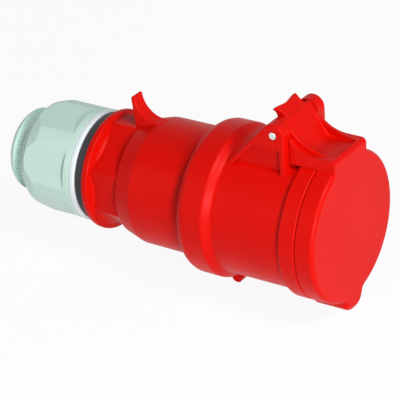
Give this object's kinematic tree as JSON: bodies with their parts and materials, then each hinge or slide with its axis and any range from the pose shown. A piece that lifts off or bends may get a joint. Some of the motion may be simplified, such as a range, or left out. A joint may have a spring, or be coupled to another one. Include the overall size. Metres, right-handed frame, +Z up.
{
  "type": "industrial cable socket",
  "caption": "Round industrial cable socket with a sprung hinged lid, a stepped grip with a thumb hook and a cable gland with a hexagonal nut.",
  "frame": {"origin": "centre of the contact carrier's front face, on the socket's axis", "axes": "+X out of the mouth towards the plug, +Z up through the lid's hinge and the thumb hook, +Y to the left of someone looking out of the mouth"},
  "size_m": [0.2006, 0.0818, 0.11],
  "materials": {
    "red_polyamide": "satin",
    "grey_polyamide": "satin",
    "dark_polyamide": "matt",
    "black_rubber": "matt",
    "brass": "bare",
    "steel": "bright"
  },
  "bodies": {
    "socket": {"front_housing": "red_polyamide", "handle": "red_polyamide", "hinge_pin": "steel", "lid_spring": "steel", "joint_seal": "black_rubber", "neck_seal": "black_rubber", "contact_carrier": "dark_polyamide", "contact_L1": "brass", "contact_L2": "brass", "contact_L3": "brass", "contact_N": "brass", "contact_PE": "brass", "clip_L1": "steel", "clip_L2": "steel", "clip_L3": "steel", "clip_N": "steel", "clip_PE": "steel", "screw_L1": "steel", "screw_L2": "steel", "screw_L3": "steel", "screw_N": "steel", "screw_PE": "steel", "clamp_cage": "grey_polyamide", "cable_seal": "black_rubber"},
    "lid": {"lid": "red_polyamide", "lid_seal": "black_rubber"},
    "nut": {"gland_nut": "grey_polyamide"}
  },
  "joints": [
    {"name": "lid_hinge", "type": "hinge", "parent": "socket", "child": "lid", "pos_m": [-0.0174, 0, 0.0527], "axis": [0, -1, 0], "range_deg": [0, 115], "stiffness_Nm_per_rad": 0.06, "springref_deg": -91.67, "deforming": ["lid_spring"]},
    {"name": "gland_nut_turn", "type": "hinge", "parent": "socket", "child": "nut", "pos_m": [-0.136, 0, 0], "axis": [-1, 0, 0], "range_deg": [0, 810]}
  ]
}
